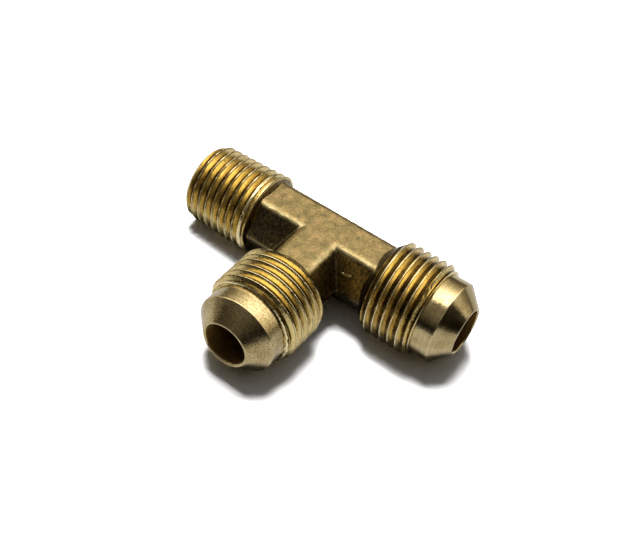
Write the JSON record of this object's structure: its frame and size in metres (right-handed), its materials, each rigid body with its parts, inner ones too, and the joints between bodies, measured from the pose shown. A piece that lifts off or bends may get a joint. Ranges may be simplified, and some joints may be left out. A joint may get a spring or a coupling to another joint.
{
  "type": "flare fitting",
  "caption": "Brass male run tee for flared copper tube, with flare ends on the run and the branch and a tapered male pipe thread on the other end of the run.",
  "frame": {"origin": "where the axis of the run and the axis of the branch cross", "axes": "+X out of the run's flare end and -X out of the pipe end, -Y out of the branch's flare end, +Z square to the body's upper wrench flat"},
  "size_m": [0.0501, 0.0338, 0.0158],
  "materials": {
    "forged_brass": "tumbled forging skin, matte, slightly khaki",
    "threaded_brass": "die cut, bright golden flanks",
    "turned_brass": "fine turned, pale and smooth"
  },
  "bodies": {
    "root": {"forged_body": "forged_brass", "run_flare_thread": "threaded_brass", "run_flare_nose": "turned_brass", "branch_flare_thread": "threaded_brass", "branch_flare_nose": "turned_brass", "pipe_thread": "threaded_brass"}
  },
  "joints": []
}
